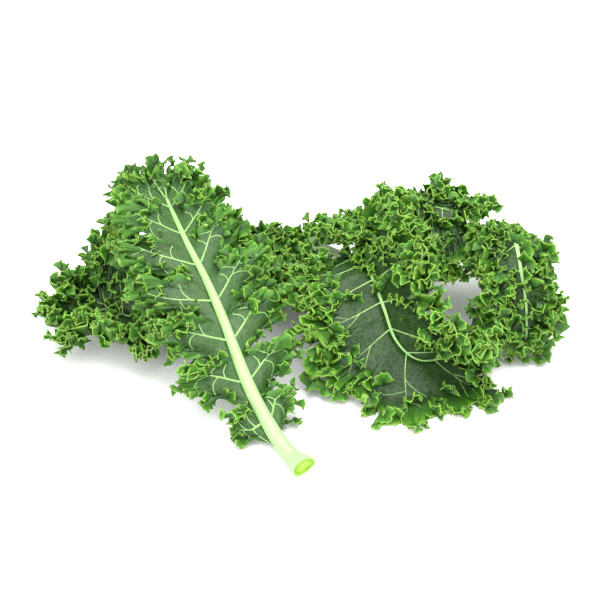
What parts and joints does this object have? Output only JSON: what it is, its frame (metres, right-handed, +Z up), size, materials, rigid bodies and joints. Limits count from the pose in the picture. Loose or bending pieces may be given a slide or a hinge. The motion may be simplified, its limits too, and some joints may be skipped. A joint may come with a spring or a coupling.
{
  "type": "kale bunch",
  "caption": "Loose bunch of curly kale leaves, with pale cut stalks and frilled green blades, lying on a surface.",
  "frame": {"origin": "middle of the bunch's footprint, on the surface that it lies on", "axes": "+X along the bunch from the left leaf to the right leaf, +Y away from the front leaf's cut end, +Z up from the surface"},
  "size_m": [0.3623, 0.287, 0.0942],
  "materials": {
    "leaf_blade": "waxy leaf, matte",
    "leaf_stalk": "smooth fleshy stalk, satin"
  },
  "bodies": {
    "root": {"left_leaf_stalk": "leaf_stalk", "left_leaf_blade": "leaf_blade", "middle_leaf_stalk": "leaf_stalk", "middle_leaf_blade": "leaf_blade", "right_leaf_stalk": "leaf_stalk", "right_leaf_blade": "leaf_blade", "back_leaf_stalk": "leaf_stalk", "back_leaf_blade": "leaf_blade", "near_leaf_stalk": "leaf_stalk", "near_leaf_blade": "leaf_blade", "front_leaf_stalk": "leaf_stalk", "front_leaf_blade": "leaf_blade"}
  },
  "joints": []
}
